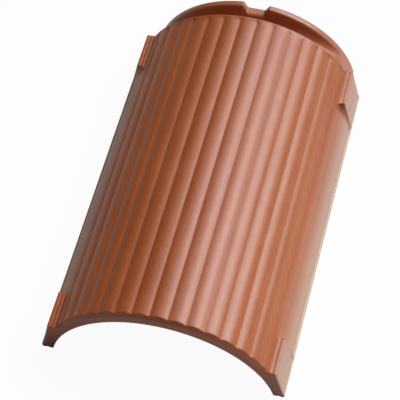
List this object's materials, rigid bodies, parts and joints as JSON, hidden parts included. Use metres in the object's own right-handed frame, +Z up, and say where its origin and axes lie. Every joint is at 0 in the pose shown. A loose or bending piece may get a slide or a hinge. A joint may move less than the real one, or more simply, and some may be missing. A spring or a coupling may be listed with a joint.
{
  "type": "half-round ridge tile",
  "caption": "Half-round fired-clay ridge tile with a reeded back, corner lugs, side feet and a stepped-in head neck whose notched flange takes the next tile's foot.",
  "frame": {"origin": "middle of the tile's footprint, on the plane that both feet stand on", "axes": "+Z up through the crown, +Y along the tile from the foot end to the flanged head, +X to the right when looking along +Y"},
  "size_m": [0.24, 0.4, 0.1008],
  "materials": {
    "fired_clay": "fired terracotta with a thin satin slip, finely grained, darker in the grooves"
  },
  "bodies": {
    "root": {"ridge_tile": "fired_clay"}
  },
  "joints": []
}
